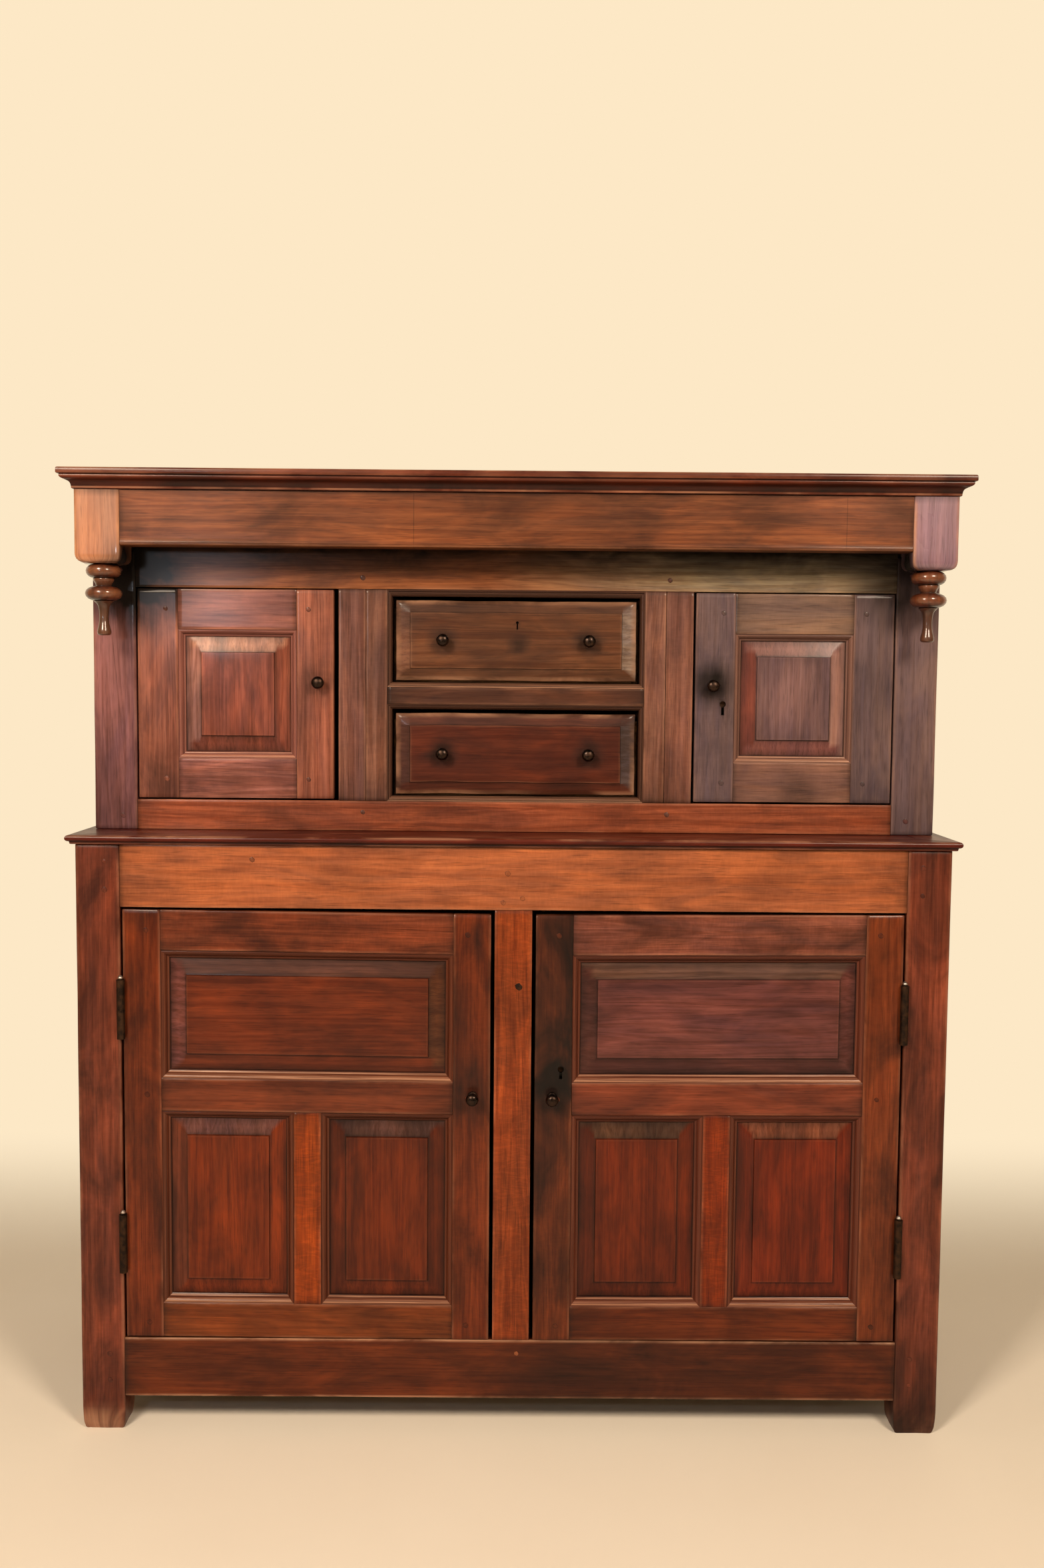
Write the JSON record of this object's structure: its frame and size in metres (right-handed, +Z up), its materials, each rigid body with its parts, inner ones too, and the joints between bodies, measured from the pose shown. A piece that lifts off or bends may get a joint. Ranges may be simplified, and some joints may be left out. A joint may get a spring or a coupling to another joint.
{
  "type": "buffet",
  "caption": "Joined oak press cupboard with a panelled lower stage and a set-back upper stage of doors and drawers under an overhanging canopy with turned pendants.",
  "frame": {"origin": "middle of the bounding box's footprint, on the floor", "axes": "+Z up, the doors and drawers face -Y, +X to the viewer's right"},
  "size_m": [1.432, 0.5484, 1.5563],
  "materials": {
    "oak_dark": "waxed and darkened with age",
    "oak_warm": "waxed and polished",
    "oak_panel": "waxed and polished",
    "oak_raw": "dry, unpolished",
    "iron": "dark, handled smooth"
  },
  "bodies": {
    "case": {"lower_post_left": "oak_dark", "lower_post_right": "oak_dark", "lower_top_rail": "oak_warm", "lower_bottom_rail": "oak_warm", "lower_muntin": "oak_warm", "lower_side_left": "oak_dark", "lower_side_right": "oak_dark", "lower_back": "oak_raw", "lower_floor": "oak_raw", "waist_ledge": "oak_warm", "upper_post_left": "oak_dark", "upper_post_right": "oak_dark", "upper_top_rail": "oak_dark", "upper_bottom_rail": "oak_warm", "upper_muntin_left": "oak_warm", "upper_muntin_right": "oak_warm", "drawer_rail": "oak_warm", "upper_side_left": "oak_dark", "upper_side_right": "oak_dark", "upper_back": "oak_raw", "drawer_well": "oak_raw", "frieze_rail": "oak_dark", "pendant_left": "oak_dark", "pendant_right": "oak_dark", "cornice": "oak_warm", "top_boards": "oak_raw", "hinge_left_low_post_leaf": "iron", "hinge_left_high_post_leaf": "iron", "hinge_right_low_post_leaf": "iron", "hinge_right_high_post_leaf": "iron"},
    "lower_door_left": {"lower_door_left_frame": "oak_warm", "lower_door_left_wide_panel": "oak_panel", "lower_door_left_outer_panel": "oak_panel", "lower_door_left_inner_panel": "oak_panel", "lower_door_left_knob": "iron", "hinge_left_low_door_leaf": "iron", "hinge_left_high_door_leaf": "iron"},
    "lower_door_right": {"lower_door_right_frame": "oak_warm", "lower_door_right_wide_panel": "oak_panel", "lower_door_right_outer_panel": "oak_panel", "lower_door_right_inner_panel": "oak_panel", "lower_door_right_knob": "iron", "hinge_right_low_door_leaf": "iron", "hinge_right_high_door_leaf": "iron"},
    "upper_door_left": {"upper_door_left_frame": "oak_warm", "upper_door_left_panel": "oak_panel", "upper_door_left_knob": "iron"},
    "upper_door_right": {"upper_door_right_frame": "oak_warm", "upper_door_right_panel": "oak_panel", "upper_door_right_knob": "iron"},
    "top_drawer": {"top_drawer_front": "oak_panel", "top_drawer_box": "oak_raw", "top_drawer_knob_left": "iron", "top_drawer_knob_right": "iron"},
    "bottom_drawer": {"bottom_drawer_front": "oak_panel", "bottom_drawer_box": "oak_raw", "bottom_drawer_knob_left": "iron", "bottom_drawer_knob_right": "iron"},
    "lower_bolt": {"lower_lock_bolt": "iron"},
    "upper_bolt": {"upper_lock_bolt": "iron"}
  },
  "joints": [
    {"name": "lower_door_left_hinge", "type": "hinge", "parent": "case", "child": "lower_door_left", "pos_m": [-0.628, -0.25265, 0.158], "axis": [0, 0, -1], "range_deg": [0, 165]},
    {"name": "lower_door_right_hinge", "type": "hinge", "parent": "case", "child": "lower_door_right", "pos_m": [0.628, -0.25265, 0.158], "axis": [0, 0, 1], "range_deg": [0, 165]},
    {"name": "upper_door_left_hinge", "type": "hinge", "parent": "case", "child": "upper_door_left", "pos_m": [-0.611, -0.14585, 1.0335], "axis": [0, 0, -1], "range_deg": [0, 95]},
    {"name": "upper_door_right_hinge", "type": "hinge", "parent": "case", "child": "upper_door_right", "pos_m": [0.611, -0.14585, 1.0335], "axis": [0, 0, 1], "range_deg": [0, 95]},
    {"name": "top_drawer_slide", "type": "slide", "parent": "case", "child": "top_drawer", "axis": [0, -1, 0], "range_m": [0, 0.28]},
    {"name": "bottom_drawer_slide", "type": "slide", "parent": "case", "child": "bottom_drawer", "axis": [0, -1, 0], "range_m": [0, 0.28]},
    {"name": "lower_bolt_slide", "type": "slide", "parent": "lower_door_right", "child": "lower_bolt", "axis": [-1, 0, 0], "range_m": [0, 0.013]},
    {"name": "upper_bolt_slide", "type": "slide", "parent": "upper_door_right", "child": "upper_bolt", "axis": [-1, 0, 0], "range_m": [0, 0.013]}
  ]
}
